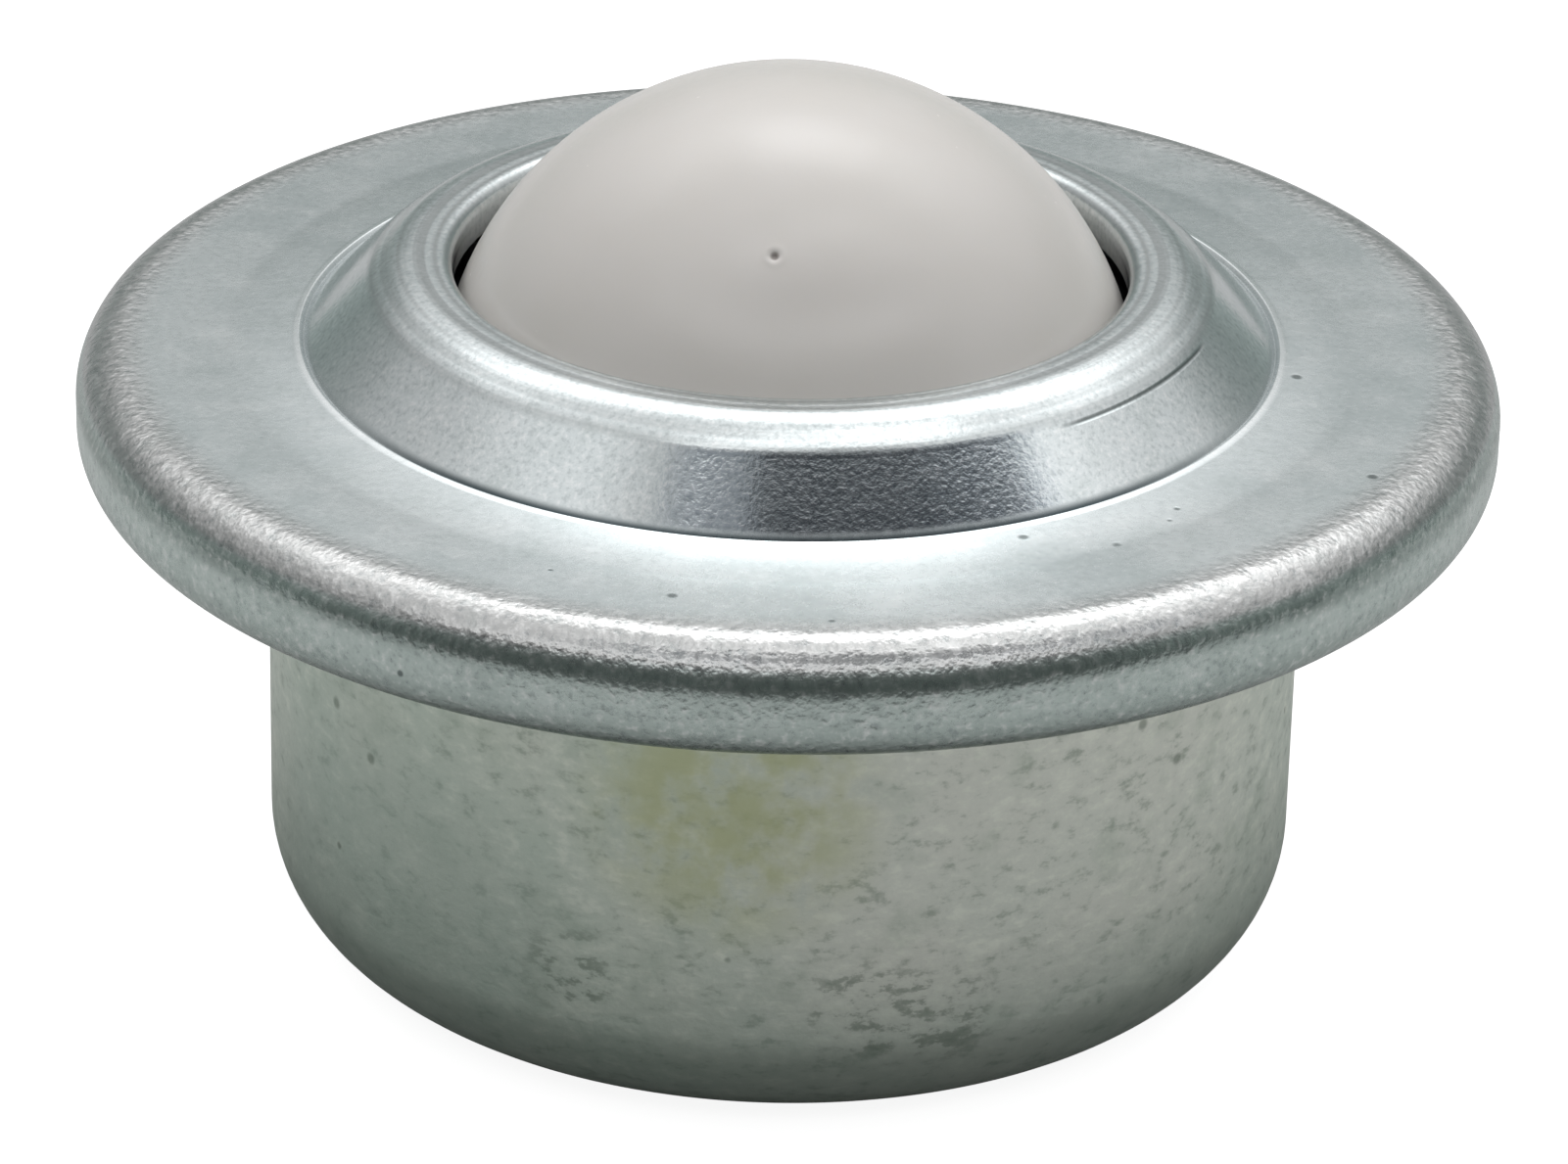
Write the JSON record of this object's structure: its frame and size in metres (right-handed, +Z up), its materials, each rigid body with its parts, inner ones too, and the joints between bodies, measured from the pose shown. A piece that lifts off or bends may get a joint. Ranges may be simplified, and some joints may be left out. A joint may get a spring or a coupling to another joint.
{
  "type": "ball transfer unit",
  "caption": "Drop-in ball transfer unit: plastic load ball on a bed of small steel balls in a hardened seat, in a zinc-plated drawn cup with a flanged cap folded round its rim.",
  "frame": {"origin": "centre of the cup's flat underside", "axes": "+Z up along the unit's centre line, through the load ball's highest point; X and Y level, with no preferred direction"},
  "size_m": [0.051, 0.051, 0.0325],
  "materials": {
    "zinc_cap": "satin bright zinc plate, finely mottled",
    "zinc_cup": "satin zinc plate with a greenish cast, dark specks and a faint yellow stain",
    "hardened_steel": "hardened steel, ground race",
    "bearing_steel": "polished bearing steel",
    "nylon_ball": "semi-gloss off-white nylon"
  },
  "bodies": {
    "housing": {"housing": "zinc_cup", "ball_seat": "hardened_steel", "cap": "zinc_cap"},
    "support_bed": {"support_ball_bottom": "bearing_steel", "support_balls_row_1": "bearing_steel", "support_balls_row_2": "bearing_steel", "support_balls_row_3": "bearing_steel", "support_balls_row_4": "bearing_steel", "support_balls_row_5": "bearing_steel", "support_balls_row_6": "bearing_steel", "support_balls_row_7": "bearing_steel"},
    "load_ball": {"load_ball": "nylon_ball"}
  },
  "joints": [
    {"name": "support_bed_orbit", "type": "hinge", "parent": "housing", "child": "support_bed", "pos_m": [0, 0, 0.01976], "axis": [0, 0, 1], "continuous": true},
    {"name": "load_ball_roll", "type": "hinge", "parent": "support_bed", "child": "load_ball", "pos_m": [0, 0, 0.01976], "axis": [1, 0, 0], "continuous": true}
  ]
}
